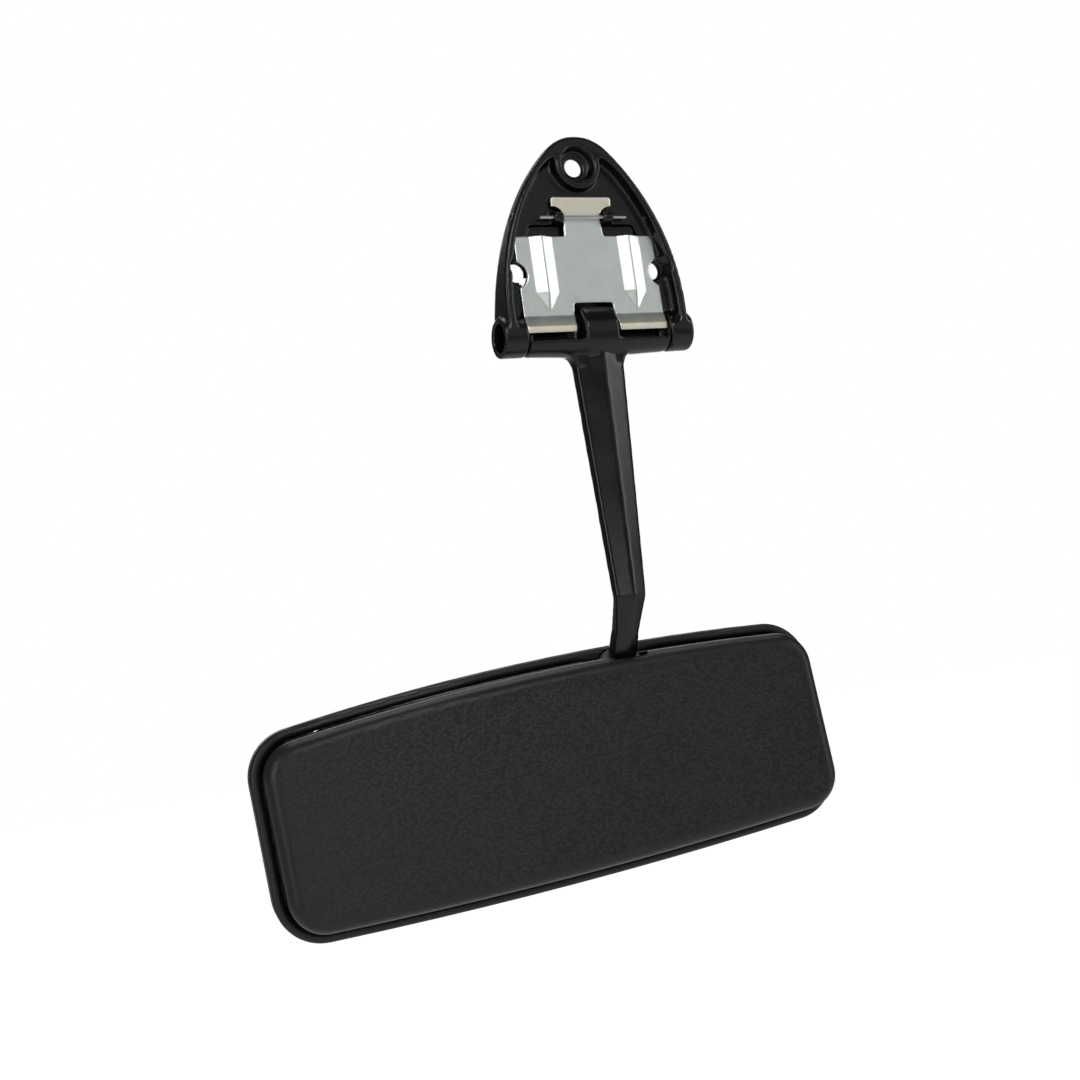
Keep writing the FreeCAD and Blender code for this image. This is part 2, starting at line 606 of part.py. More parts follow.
def head_outline():
    """The rim's outline: a long arched top, a nearly straight bottom, upright ends, round corners."""
    half, corner = dim("head_half_length"), dim("head_corner")
    points, arcs = [], {}
    sides = []
    for height, rise in ((dim("head_top"), dim("head_top_rise")), (dim("head_bottom"), dim("head_bottom_rise"))):
        radius = (half * half + rise * rise) / (2 * rise)
        centre = height - radius
        climb = ((radius - corner) * (radius - corner) - (half - corner) * (half - corner)).root()
        share = radius / (radius - corner)
        sides.append((radius, (half - corner) * share, centre + climb * share, centre + climb))
    (top_r, top_x, top_z, top_end), (low_r, low_x, low_z, low_end) = sides
    points = [(-low_x, -low_z), (low_x, -low_z), (half, -low_end), (half, top_end),
              (top_x, top_z), (-top_x, top_z), (-half, top_end), (-half, -low_end)]
    arcs = {0: (low_r, 1), 1: (corner, 1), 3: (corner, 1), 4: (top_r, 1), 5: (corner, 1), 7: (corner, 1)}
    return sketch("head_outline", "front", points, arcs)


OUTLINE = head_outline()
carrier_front = dim("carrier_face") + dim("carrier_thickness")
glass_back = carrier_front + dim("pad_thickness")
glass_front = glass_back + dim("glass_thickness")
shell_inset = dim("rim_wall") + dim("shell_gap")
carrier_screw_x = dim("head_half_length") - dim("carrier_screw_inset")
screw_places = [(sign_x, sign_z) for sign_z in (1, -1) for sign_x in (-1, 1)]


def build_rim_frame():
    length = dim("rim_back") + glass_front + dim("glass_gap") + dim("rim_lip")
    ring = pull("rim_block", OUTLINE, "front", length, -dim("rim_back"))
    front = (length - dim("rim_back")).value
    back = -dim("rim_back").value
    radius = dim("rim_round").value
    ring = round_edges("rim_rounded", ring, lambda edge: radius if all(
        min(abs(point.y - front), abs(point.y - back)) < 1e-4 for point in edge.discretize(3)) else 0)
    bore = pull("rim_bore", inset("rim_bore_outline", OUTLINE, dim("rim_wall")), "front",
                length - dim("rim_lip") + 1, -dim("rim_back") - 1)
    window = pull("rim_window", inset("rim_window_outline", OUTLINE, dim("rim_lip_inset")), "front",
                  length + 4, -dim("rim_back") - 2)
    relief = sphere("rim_relief", dim("ball_radius") + dim("relief_gap"), (ball_x, ball_in, ball_up))
    return in_head(cut("rim_solid", ring, bore, window, relief))


def shell_block(name, distance, depth, radius):
    """A block with the shell's outline and one soft round along its back edge."""
    block = pull(name, inset(f"{name}_outline", OUTLINE, distance), "front", depth + dim("carrier_face"), -depth)
    back = -depth.value
    return round_edges(f"{name}_rounded", block, lambda edge: radius.value if all(
        abs(point.y - back) < 1e-4 for point in edge.discretize(3)) else 0)


def build_back_shell():
    depth, wall = dim("shell_depth"), dim("shell_wall")
    outer = shell_block("shell_outer", shell_inset, depth, dim("shell_round"))
    inner = shell_block("shell_inner", shell_inset + wall, depth - wall, dim("shell_round") - wall)
    posts, holes = [], []
    for number, (sign_x, sign_z) in enumerate(screw_places, start=1):
        x, z = sign_x * carrier_screw_x, sign_z * dim("carrier_screw_z")
        posts.append(cylinder(f"post_{number}", dim("post_radius"), depth - wall + dim("carrier_face") + 0.5,
                              (x, -depth + wall - 0.5, z), "y"))
        holes.append(cylinder(f"post_hole_{number}", dim("screw_radius"), dim("screw_length"),
                              (x, dim("carrier_face") - dim("screw_length"), z), "y"))
    hollow = cut("shell_hollow", outer, inner)
    top = dim("head_top")
    slot = box("slot_block", (ball_x - dim("slot_left"), -dim("slot_back"), ball_up + dim("slot_floor")),
               (ball_x + dim("slot_right"), dim("slot_front"), top))
    notch = box("notch_block", (ball_x - dim("notch_left"), -dim("notch_back"), ball_up + dim("slot_floor")),
                (ball_x + dim("notch_right"), dim("slot_front"), top))
    soften = dim("slot_corner").value
    upright = (lambda edge: soften if abs(edge.tangentAt(edge.FirstParameter).z) > 0.99
               and edge.CenterOfMass.y < 0 else 0)
    relief = sphere("shell_relief", dim("ball_radius") + dim("relief_gap"), (ball_x, ball_in, ball_up))
    solid = fuse("shell_with_posts", hollow, *posts)
    return in_head(cut("shell_solid", solid, round_edges("slot_rounded", slot, upright),
                       round_edges("notch_rounded", notch, upright), relief, *holes))


def build_carrier_plate():
    plate = pull("carrier_block", inset("carrier_outline", OUTLINE, shell_inset), "front",
                 dim("carrier_thickness"), dim("carrier_face"))
    holes = [screw_shape(f"carrier_hole_{number}", sign_x * carrier_screw_x, sign_z * dim("carrier_screw_z"))
             for number, (sign_x, sign_z) in enumerate(screw_places, start=1)]
    holes += [screw_shape(f"socket_hole_{side}", ball_x + sign * dim("socket_screw_x"),
                          ball_up - dim("socket_screw_below")) for side, sign in (("left", -1), ("right", 1))]
    return in_head(cut("carrier_solid", plate, *holes))


def screw_shape(name, x, z):
    """A countersunk screw through the carrier plate, its head flush with the plate's face."""
    start = dim("carrier_face") - dim("screw_length")
    shank = cylinder(f"{name}_shank", dim("screw_radius"), dim("screw_length"), (x, start, z), "y")
    head = cone(f"{name}_head", dim("screw_radius"), dim("screw_head_radius"), dim("carrier_thickness"),
                (x, dim("carrier_face"), z), "y")
    return fuse(name, shank, head)


def build_carrier_screw(number):
    sign_x, sign_z = screw_places[number - 1]
    name = f"carrier_screw_{number}_solid"
    return in_head(screw_shape(name, sign_x * carrier_screw_x, sign_z * dim("carrier_screw_z")))


def build_socket_screw(side, sign):
    return in_head(screw_shape(f"socket_screw_{side}_solid", ball_x + sign * dim("socket_screw_x"),
                               ball_up - dim("socket_screw_below")))


def build_mounting_pad():
    pad = pull("pad_block", inset("pad_outline", OUTLINE, dim("pad_inset")), "front",
               dim("pad_thickness"), carrier_front)
    holes = [cylinder(f"pad_hole_{side}", dim("screw_head_radius") + dim("pad_hole_gap"), dim("pad_thickness") + 2,
                      (ball_x + sign * dim("socket_screw_x"), carrier_front - 1,
                       ball_up - dim("socket_screw_below")), "y") for side, sign in (("left", -1), ("right", 1))]
    return in_head(cut("pad_solid", pad, *holes))


def build_mirror_glass():
    pane = pull("glass_block", inset("glass_outline", OUTLINE, dim("rim_wall") + dim("glass_gap")), "front",
                dim("glass_thickness"), glass_back)
    front = glass_front.value
    bevel = dim("glass_bevel").value
    return in_head(treat_edges("glass_solid", pane, "Part::Chamfer", lambda edge: bevel if all(
        abs(point.y - front) < 1e-4 for point in edge.discretize(3)) else 0))


liner_inner = dim("ball_radius") + dim("ball_gap")
liner_outer = liner_inner + dim("liner_thickness")
socket_radius = liner_outer + dim("ball_gap")


def build_friction_liner():
    at = (ball_x, ball_in, ball_up)
    reach = liner_outer + 2
    lid = box("liner_lid", (ball_x - reach, ball_in - reach, ball_up + dim("liner_top")),
              (ball_x + reach, ball_in + reach, ball_up + reach))
    back = box("liner_open_back", (ball_x - reach, ball_in - reach, ball_up - reach),
               (ball_x + reach, ball_in - dim("liner_back"), ball_up + reach))
    return in_head(cut("liner_solid", sphere("liner_sphere", liner_outer, at),
                       sphere("liner_hollow", liner_inner, at), lid, back))


def retainer_screw_shape(side, sign):
    x, y = ball_x + sign * dim("retainer_screw_x"), ball_in + dim("retainer_screw_y")
    top = ball_up + dim("socket_top") + dim("retainer_thickness")
    shank = cylinder(f"retainer_shank_{side}", dim("small_screw_radius"), dim("small_screw_length"),
                     (x, y, top - dim("small_screw_length")))
    head = cylinder(f"retainer_head_{side}", dim("small_head_radius"), dim("small_head_height"), (x, y, top))
    return shank, head


def build_retainer_screw(side, sign):
    return in_head(fuse(f"retainer_screw_{side}_solid", *retainer_screw_shape(side, sign)))


def build_retainer_plate():
    low = ball_up + dim("socket_top")
    plate = box("retainer_block", (ball_x - dim("socket_half_width"), ball_in - dim("socket_back"), low),
                (ball_x + dim("socket_half_width"), dim("carrier_face"), low + dim("retainer_thickness")))
    holes = [retainer_screw_shape(f"hole_{side}", sign)[0] for side, sign in (("left", -1), ("right", 1))]
    return in_head(cut("retainer_solid", plate, sphere("retainer_relief", socket_radius, (ball_x, ball_in, ball_up)),
                       *holes))


def build_ball_socket():
    block = box("socket_block", (ball_x - dim("socket_half_width"), ball_in - dim("socket_back"),
                                 ball_up - dim("socket_below")),
                (ball_x + dim("socket_half_width"), dim("carrier_face"), ball_up + dim("socket_top")))
    holes = [retainer_screw_shape(f"well_{side}", sign)[0] for side, sign in (("left", -1), ("right", 1))]
    holes += [cylinder(f"socket_well_{side}", dim("screw_radius"), dim("screw_length"),
                       (ball_x + sign * dim("socket_screw_x"), dim("carrier_face") - dim("screw_length"),
                        ball_up - dim("socket_screw_below")), "y") for side, sign in (("left", -1), ("right", 1))]
    return in_head(cut("socket_solid", block, sphere("socket_cavity", socket_radius, (ball_x, ball_in, ball_up)),
                       *holes))


# ---------------------------------------------------------------- all sub-parts

subparts = {
    "base_casting": build_base_casting(),
    "leaf_spring": build_leaf_spring(),
    "retaining_wire": build_retaining_wire(),
    "hinge_bush_left": build_hinge_bush("left", "-x", -1),
    "hinge_bush_right": build_hinge_bush("right", "x", 1),
    "arm_casting": build_arm_casting(),
    "ball_pin": build_ball_pin(),
    "pivot_ball": build_pivot_ball(),
    "friction_liner": build_friction_liner(),
    "ball_socket": build_ball_socket(),
    "retainer_plate": build_retainer_plate(),
    "retainer_screw_left": build_retainer_screw("left", -1),
    "retainer_screw_right": build_retainer_screw("right", 1),
    "socket_screw_left": build_socket_screw("left", -1),
    "socket_screw_right": build_socket_screw("right", 1),
    "carrier_plate": build_carrier_plate(),
    "mounting_pad": build_mounting_pad(),
    "mirror_glass": build_mirror_glass(),
    "rim_frame": build_rim_frame(),
    "back_shell": build_back_shell(),
}
for number in range(1, 5):
    subparts[f"carrier_screw_{number}"] = build_carrier_screw(number)

doc.recompute()
for item in doc.Objects:
    if "Invalid" in item.State or "Error" in item.State:
        raise RuntimeError(f"{item.Name} did not build: {item.State}")
# The part's origin lies between the two side screw holes, half-way through their webs.
origin_depth = side_web_face() + dim("screw_web") / 2
print(f"origin depth: {origin_depth.value:.4f} mm")
os.makedirs("parts", exist_ok=True)
for node, item in subparts.items():
    shape = item.Shape.copy()
    shape.translate(Vector(0, -origin_depth.value, 0))
    if shape.isNull() or not shape.isValid() or len(shape.Solids) != 1:
        raise RuntimeError(f"{node} is not one valid solid: {len(shape.Solids)} solids")
    item.Label = node
    shape.exportStep(f"parts/{node}.step")
    print(f"{node}: {shape.Volume:.1f} mm3")
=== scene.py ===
"""Looks for an interior rearview mirror: a cast base with its leaf spring, a folding arm and a framed head.

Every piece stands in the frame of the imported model. Cast and formed parts are skins taken from the
frame's own solids, with their edges softened as paint, tumbling or moulding leaves them.
"""
import json
import logging
import math
from dataclasses import dataclass, field
from enum import Enum

import bmesh
import bpy
from mathutils import Euler, Matrix, Vector


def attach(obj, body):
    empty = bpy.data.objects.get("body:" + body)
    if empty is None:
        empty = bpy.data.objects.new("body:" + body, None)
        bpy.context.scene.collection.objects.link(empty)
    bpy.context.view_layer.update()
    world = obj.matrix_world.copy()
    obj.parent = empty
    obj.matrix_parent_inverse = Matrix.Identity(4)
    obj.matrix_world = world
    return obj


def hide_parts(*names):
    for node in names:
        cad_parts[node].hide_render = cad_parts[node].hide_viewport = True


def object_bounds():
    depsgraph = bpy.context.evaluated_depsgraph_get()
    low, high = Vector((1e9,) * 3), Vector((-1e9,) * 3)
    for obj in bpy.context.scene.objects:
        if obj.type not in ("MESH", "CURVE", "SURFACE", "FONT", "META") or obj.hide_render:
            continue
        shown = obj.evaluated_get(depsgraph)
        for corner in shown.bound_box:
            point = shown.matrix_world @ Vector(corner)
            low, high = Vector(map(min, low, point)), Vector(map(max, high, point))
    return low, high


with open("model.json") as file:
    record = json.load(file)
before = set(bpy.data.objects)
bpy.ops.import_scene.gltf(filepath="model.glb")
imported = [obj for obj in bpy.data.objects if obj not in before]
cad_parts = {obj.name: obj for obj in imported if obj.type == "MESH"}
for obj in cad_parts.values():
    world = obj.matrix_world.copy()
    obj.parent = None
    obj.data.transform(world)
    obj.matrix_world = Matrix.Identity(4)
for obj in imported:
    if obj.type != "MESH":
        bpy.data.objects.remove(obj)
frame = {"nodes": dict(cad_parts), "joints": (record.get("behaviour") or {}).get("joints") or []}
CAD_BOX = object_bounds()

MM = 0.001
WHITE = (1.0, 1.0, 1.0, 1.0)
WELD = 0.002 * MM
log = logging.getLogger("mirror")


class Body(Enum):
    """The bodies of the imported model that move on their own."""

    BASE = "base"
    ARM = "arm"
    BALL = "ball"
    LINER = "liner"
    HEAD = "head"


class Side(Enum):
    """The two sides of a pair of pieces."""

    LEFT = "left"
    RIGHT = "right"


# ---------------------------------------------------------------- finishes

@dataclass
class NodeGraph:
    """Builds one material's nodes.

    Attributes:
        name: The material's name.
    """

    name: str
    material: bpy.types.Material = field(init=False)

    def __post_init__(self) -> None:
        """Make the material with a lone Principled shader and its output."""
        self.material = bpy.data.materials.new(self.name)
        self.material.use_nodes = True
        self.tree = self.material.node_tree
        self.tree.nodes.clear()
        output = self.tree.nodes.new("ShaderNodeOutputMaterial")
        self.shader = self.tree.nodes.new("ShaderNodeBsdfPrincipled")
        self.tree.links.new(self.shader.outputs["BSDF"], output.inputs["Surface"])

    def add(self, kind: str, **inputs: object) -> bpy.types.Node:
        """Add a node.

        Args:
            kind: The node's type without its ShaderNode prefix.
            inputs: Values or sockets for its inputs, with spaces written as underscores.

        Returns:
            The new node.
        """
        node = self.tree.nodes.new("ShaderNode" + kind)
        for key, value in inputs.items():
            self.feed(node, key.replace("_", " "), value)
        return node

    def feed(self, node: bpy.types.Node, socket: str | int, value: object) -> None:
        """Set an input to a value or link a socket into it.

        Args:
            node: The node that has the input.
            socket: The input's name or number.
            value: A constant, or an output socket.
        """
        if isinstance(value, bpy.types.NodeSocket):
            self.tree.links.new(value, node.inputs[socket])
        else:
            node.inputs[socket].default_value = value

    def shade(self, **inputs: object) -> None:
        """Set or link the Principled shader's inputs by name."""
        for key, value in inputs.items():
            self.feed(self.shader, key.replace("_", " "), value)

    def math(self, operation: str, first: object, second: object = 0.0) -> bpy.types.NodeSocket:
        """One Math node.

        Args:
            operation: The node's operation.
            first: Its first value or socket.
            second: Its second value or socket.

        Returns:
            The result's socket.
        """
        node = self.tree.nodes.new("ShaderNodeMath")
        node.operation = operation
        self.feed(node, 0, first)
        self.feed(node, 1, second)
        return node.outputs[0]

    def soft_least(self, first: object, second: object, width: float) -> bpy.types.NodeSocket:
        """The lesser of two values, blended over a width where they are near each other."""
        node = self.tree.nodes.new("ShaderNodeMath")
        node.operation = "SMOOTH_MIN"
        for number, value in enumerate((first, second, width)):
            self.feed(node, number, value)
        return node.outputs[0]

    def noise(self, place: bpy.types.NodeSocket, scale: float, detail: float = 3.0,
              roughness: float = 0.55) -> bpy.types.NodeSocket:
        """A noise pattern's value.

        Args:
            place: The coordinates that it reads.
            scale: Features per metre.
            detail: Its octaves.
            roughness: How much the finer octaves count.

        Returns:
            The value's socket, about 0 to 1.
        """
        node = self.add("TexNoise", Vector=place, Scale=scale, Detail=detail, Roughness=roughness)
        return node.outputs["Fac"]

    def ramp(self, value: bpy.types.NodeSocket, low: float, high: float, to_low: float = 0.0,
             to_high: float = 1.0) -> bpy.types.NodeSocket:
        """Map a range of a value onto another, smoothly and clamped.

        Args:
            value: What is mapped.
            low: The value that becomes to_low.
            high: The value that becomes to_high.
            to_low: The result at low.
            to_high: The result at high.

        Returns:
            The result's socket.
        """
        node = self.tree.nodes.new("ShaderNodeMapRange")
        node.interpolation_type = "SMOOTHSTEP"
        node.clamp = True
        for key, number in (("From Min", low), ("From Max", high), ("To Min", to_low), ("To Max", to_high)):
            node.inputs[key].default_value = number
        self.feed(node, "Value", value)
        return node.outputs["Result"]

    def mix(self, share: object, first: object, second: object) -> bpy.types.NodeSocket:
        """Mix two colours.

        Args:
            share: How much of the second colour there is.
            first: A colour or socket.
            second: A colour or socket.

        Returns:
            The mixed colour's socket.
        """
        node = self.tree.nodes.new("ShaderNodeMix")
        node.data_type = "RGBA"
        self.feed(node, 0, share)
        self.feed(node, 6, (*first, 1.0) if isinstance(first, tuple) else first)
        self.feed(node, 7, (*second, 1.0) if isinstance(second, tuple) else second)
        return node.outputs[2]

    def place(self, turn: Euler | None = None, stretch: tuple[float, float, float] = (1.0, 1.0, 1.0),
              centre: Vector | None = None) -> bpy.types.NodeSocket:
        """Coordinates in the frame, turned into a piece's own axes.

        Args:
            turn: The rotation from the frame's axes to the piece's own.
            stretch: How each axis is scaled after that.
            centre: The piece's own origin, in the frame.

        Returns:
            The coordinates' socket.
        """
        source = self.add("TexCoord").outputs["Object"]
        if centre is not None:
            moved = self.add("Mapping", Vector=source)
            moved.inputs["Location"].default_value = -centre
            source = moved.outputs["Vector"]
        if turn is not None:
            turned = self.add("Mapping", Vector=source)
            turned.inputs["Rotation"].default_value = turn
            source = turned.outputs["Vector"]
        scaled = self.add("Mapping", Vector=source)
        scaled.inputs["Scale"].default_value = stretch
        return scaled.outputs["Vector"]

    def bump(self, height: bpy.types.NodeSocket, depth: float, strength: object = 1.0,
             under: bpy.types.NodeSocket | None = None) -> bpy.types.NodeSocket:
        """A bump from a height.

        Args:
            height: The height, about 0 to 1.
            depth: What a height of 1 is, in metres.
            strength: How strong it is.
            under: A normal that it adds to.

        Returns:
            The normal's socket.
        """
        node = self.add("Bump", Height=height, Distance=depth, Strength=strength)
        if under is not None:
            self.feed(node, "Normal", under)
        return node.outputs["Normal"]


@dataclass(frozen=True)
class Finish:
    """One finish of the object.

    Attributes:
        name: The material's name.
        colour: Its main colour, linear.
        roughness: Its mean roughness.
    """

    name: str
    colour: tuple[float, float, float]
    roughness: float

    def tones(self, spread: float = 0.25) -> tuple[tuple[float, float, float], ...]:
        """The main colour made a little darker and a little lighter.

        Args:
            spread: How far each goes.

        Returns:
            The darker and the lighter colour.
        """
        darker = tuple(part * (1 - spread) for part in self.colour)
        lighter = tuple(min(part * (1 + spread), 1.0) for part in self.colour)
        return darker, lighter

    def material(self) -> bpy.types.Material:
        """Make the material."""
        raise NotImplementedError


@dataclass(frozen=True)
class PaintedCasting(Finish):
    """Black paint over a die casting: glossy, with a fine orange peel.

    Attributes:
        peel: Ripples of the paint per metre.
        peel_depth: The ripples' depth in metres.
        dust: Specks in the paint per ripple.
        dust_depth: The specks' depth in metres.
        patches: Patches of uneven gloss per metre.
        specular: How strongly the paint mirrors.
        coat: How much clear gloss lies over it.
        coat_roughness: The clear gloss's roughness.
    """

    peel: float = 520.0
    peel_depth: float = 0.05 * MM
    dust: float = 4.0
    dust_depth: float = 0.012 * MM
    patches: float = 60.0
    specular: float = 0.34
    coat: float = 0.06
    coat_roughness: float = 0.14

    def material(self) -> bpy.types.Material:
        """Make the material.

        Returns:
            The paint's material.
        """
        graph = NodeGraph(self.name)
        place = graph.place()
        broad = graph.noise(place, self.patches, 4.0)
        peel = graph.noise(place, self.peel, 2.0)
        darker, lighter = self.tones()
        graph.shade(Base_Color=graph.mix(broad, darker, lighter),
                    Roughness=graph.ramp(broad, 0.3, 0.7, self.roughness * 0.82, self.roughness * 1.2),
                    Specular_IOR_Level=self.specular, Coat_Weight=self.coat, Coat_Roughness=self.coat_roughness)
        fine = graph.noise(place, self.peel * self.dust, 2.0)
        normal = graph.bump(peel, self.peel_depth, 0.5)
        graph.shade(Normal=graph.bump(fine, self.dust_depth, 0.4, normal))
        return graph.material


@dataclass(frozen=True)
class PlatedSteel(Finish):
    """Zinc plated steel: cool grey, cloudy, rolled along one axis, with a pale yellow painted highlight where it
    is bent.

    Attributes:
        bend_highlight: The colour of the painted highlight on the bent ends, pale yellow.
        above: Height over which the upper bent end gets the painted highlight, metres.
        below: Height under which the lower bent end gets the painted highlight, metres.
        edge: Half the width over which grey turns into the painted highlight, metres.
        cloud: Clouds of the plating per metre.
        rolling: Rolling lines per metre.
        rolled_depth: The rolling lines' depth in metres.
        dents: Shallow dents per metre.
        dent_depth: The dents' depth in metres.
    """

    bend_highlight: tuple[float, float, float] = (0.93, 0.88, 0.72)
    above: float = 1.0
    below: float = -1.0
    edge: float = 1.4 * MM
    cloud: float = 170.0
    rolling: float = 2600.0
    rolled_depth: float = 0.008 * MM
    dents: float = 90.0
    dent_depth: float = 0.08 * MM

    def material(self) -> bpy.types.Material:
        """Make the material.

        Returns:
            The plating's material.
        """
        graph = NodeGraph(self.name)
        place = graph.place()
        height = graph.add("SeparateXYZ", Vector=place).outputs["Z"]
        clouds = graph.noise(place, self.cloud, 5.0, 0.6)
        rolled = graph.noise(graph.place(stretch=(1.0, 1.0, 0.06)), self.rolling, 3.0)
        darker, lighter = self.tones(0.05)
        plated = graph.mix(graph.ramp(clouds, 0.1, 0.9), darker, lighter)
        # Painted highlight: the bent tab at the top and the bent lip at the bottom get a pale yellow base
        # colour, standing in for the light that the bends catch.
        upper = graph.ramp(height, self.above - self.edge, self.above + self.edge)
        lower = graph.ramp(height, self.below + self.edge, self.below - self.edge)
        bend_highlight = graph.math("MAXIMUM", upper, lower)
        bend_highlight = graph.math("MULTIPLY", bend_highlight, graph.ramp(clouds, 0.2, 0.7, 0.75, 1.0))
        graph.shade(Base_Color=graph.mix(bend_highlight, plated, self.bend_highlight), Metallic=1.0,
                    Roughness=graph.ramp(clouds, 0.0, 1.0, self.roughness * 0.85, self.roughness * 1.15))
        normal = graph.bump(rolled, self.rolled_depth, 0.4)
        graph.shade(Normal=graph.bump(graph.noise(place, self.dents, 2.0), self.dent_depth, 0.25, normal))
        return graph.material


@dataclass(frozen=True)
class MouldedPlastic(Finish):
    """Moulded plastic with the tool's texture.

    Attributes:
        size: The texture's features per metre.
        depth: The texture's depth in metres.
        patches: Patches of uneven gloss per metre.
        specular: How strongly the plastic mirrors.
    """

    size: float = 2400.0
    depth: float = 0.02 * MM
    patches: float = 45.0
    specular: float = 0.3

    def material(self) -> bpy.types.Material:
        """Make the material.

        Returns:
            The plastic's material.
        """
        graph = NodeGraph(self.name)
        place = graph.place()
        broad = graph.noise(place, self.patches, 3.0)
        fine = graph.noise(place, self.size, 3.0, 0.6)
        darker, lighter = self.tones()
        graph.shade(Base_Color=graph.mix(graph.ramp(fine, 0.3, 0.7), darker, lighter),
                    Roughness=graph.ramp(broad, 0.25, 0.75, self.roughness * 0.88, self.roughness * 1.12),
                    Specular_IOR_Level=self.specular)
        graph.shade(Normal=graph.bump(fine, self.depth, 0.8))
        return graph.material


@dataclass(frozen=True)
class GrainedShell(Finish):
    """The head's back: leather grain on its flat face, smooth on the rounded shoulder and the sides.

    Attributes:
        turn: Rotation from the frame's axes to the head's own.
        centre: The head's own origin in the frame, metres.
        flat: Depth of the flat face in the head's own axes, metres.
        reach: Half the length of the grained field, metres.
        rise: Heights of the field's middle over and under the origin, metres.
        bow: How much lower the field's top and bottom are at its ends, metres.
        corner: How far the field's sides blend into each other, metres.
        fade: Where the grain starts and is full, from the field's edge inwards, metres.
        lift: Where the grain is full and ends, from the flat face forwards, metres.
        pebbles: Pebbles per metre.
        depth: The grain's depth in metres.
        fine_depth: The depth of the fine texture on the grain, metres.
        patches: Patches of uneven gloss per metre.
        spread: How much lighter the pebbles' tops and how much darker the creases are painted, as a painted
            highlight and a painted shade.
        specular: How strongly the plastic mirrors.
    """

    turn: tuple[float, float, float] = (0.0, 0.0, 0.0)
    centre: tuple[float, float, float] = (0.0, 0.0, 0.0)
    flat: float = -0.016
    reach: float = 0.09
    rise: tuple[float, float] = (0.03, 0.03)
    bow: tuple[float, float] = (0.0, 0.0)
    corner: float = 6.0 * MM
    fade: tuple[float, float] = (-2.5 * MM, 3.5 * MM)
    lift: tuple[float, float] = (0.3 * MM, 0.75 * MM)
    pebbles: float = 1150.0
    depth: float = 0.13 * MM
    fine_depth: float = 0.012 * MM
    patches: float = 22.0
    spread: float = 0.26
    specular: float = 0.26

    def field(self, graph: NodeGraph, own: bpy.types.NodeSocket) -> bpy.types.NodeSocket:
        """Where the grain lies: inside the border that follows the head's outline.

        Args:
            graph: The graph.
            own: Coordinates in the head's own axes.

        Returns:
            1 inside the grained field, 0 outside.
        """
        axes = graph.add("SeparateXYZ", Vector=own)
        along, height = axes.outputs["X"], axes.outputs["Z"]
        share = graph.math("DIVIDE", along, self.reach)
        square = graph.math("MULTIPLY", share, share)
        end = graph.math("SUBTRACT", self.reach, graph.math("ABSOLUTE", along))
        top, bottom = (graph.math("SUBTRACT", rise, graph.math("MULTIPLY", square, bow))
                       for rise, bow in zip(self.rise, self.bow))
        over = graph.math("SUBTRACT", top, height)
        under = graph.math("ADD", bottom, height)
        nearest = graph.soft_least(graph.soft_least(over, under, self.corner), end, self.corner)
        return graph.ramp(nearest, *self.fade)

    def material(self) -> bpy.types.Material:
        """Make the material.

        Returns:
            The grained plastic's material.
        """
        graph = NodeGraph(self.name)
        turn, centre = Euler(self.turn), Vector(self.centre)
        own = graph.place(turn, centre=centre)
        out = graph.add("SeparateXYZ", Vector=own).outputs["Y"]
        flat_face = graph.ramp(out, self.flat + self.lift[1], self.flat + self.lift[0])
        face = graph.math("MULTIPLY", flat_face, self.field(graph, own))
        stretched = graph.place(turn, (0.62, 1.0, 1.25), centre)
        wander = graph.add("TexNoise", Vector=stretched, Scale=self.pebbles * 0.45, Detail=2.0)
        bent = graph.add("VectorMath")
        bent.operation = "MULTIPLY_ADD"
        graph.feed(bent, 0, wander.outputs["Color"])
        graph.feed(bent, 1, (0.9 / self.pebbles,) * 3)
        graph.feed(bent, 2, stretched)
        cells = graph.add("TexVoronoi", Vector=bent.outputs[0], Scale=self.pebbles)
        cells.feature = "SMOOTH_F1"
        cells.inputs["Smoothness"].default_value = 0.35
        pebble = graph.ramp(cells.outputs["Distance"], 0.75, 0.1)
        crease = graph.noise(stretched, self.pebbles * 0.5, 4.0, 0.6)
        fine = graph.noise(own, self.pebbles * 3.2, 2.0)
        height = graph.math("ADD", graph.math("MULTIPLY", pebble, 0.65), graph.math("MULTIPLY", crease, 0.55))
        broad = graph.noise(own, self.patches, 3.0)
        darker, lighter = self.tones(self.spread)
        # Painted highlight and painted shade: the base colour is lighter on the pebbles' tops and darker in the
        # creases, following the grain's height, on the flat face only.
        pebble_shading = graph.math("MULTIPLY", graph.ramp(height, 0.25, 0.85), face)
        worn = graph.ramp(broad, 0.25, 0.75, self.roughness * 0.92, self.roughness * 1.1)
        creased = graph.math("MULTIPLY", graph.ramp(height, 0.75, 0.35), 0.05)
        graph.shade(Base_Color=graph.mix(pebble_shading, darker, lighter), Roughness=graph.math("SUBTRACT", worn, creased),
                    Specular_IOR_Level=self.specular)
        grain = graph.bump(height, self.depth, face)
        graph.shade(Normal=graph.bump(fine, self.fine_depth, 0.5, grain))
        return graph.material


@dataclass(frozen=True)
class SilveredGlass(Finish):
    """Silvered mirror glass with a faint waviness."""

    def material(self) -> bpy.types.Material:
        """Make the material.

        Returns:
            The mirror's material.
        """
        graph = NodeGraph(self.name)
        wave = graph.noise(graph.place(), 18.0, 2.0)
        smear = graph.noise(graph.place(), 90.0, 4.0)
        darker, lighter = self.tones(0.02)
        graph.shade(Base_Color=graph.mix(smear, darker, lighter), Metallic=1.0,
                    Roughness=graph.ramp(smear, 0.4, 0.8, self.roughness, self.roughness * 2.5))
        graph.shade(Normal=graph.bump(wave, 0.02 * MM, 0.2))
        return graph.material


# ---------------------------------------------------------------- skins

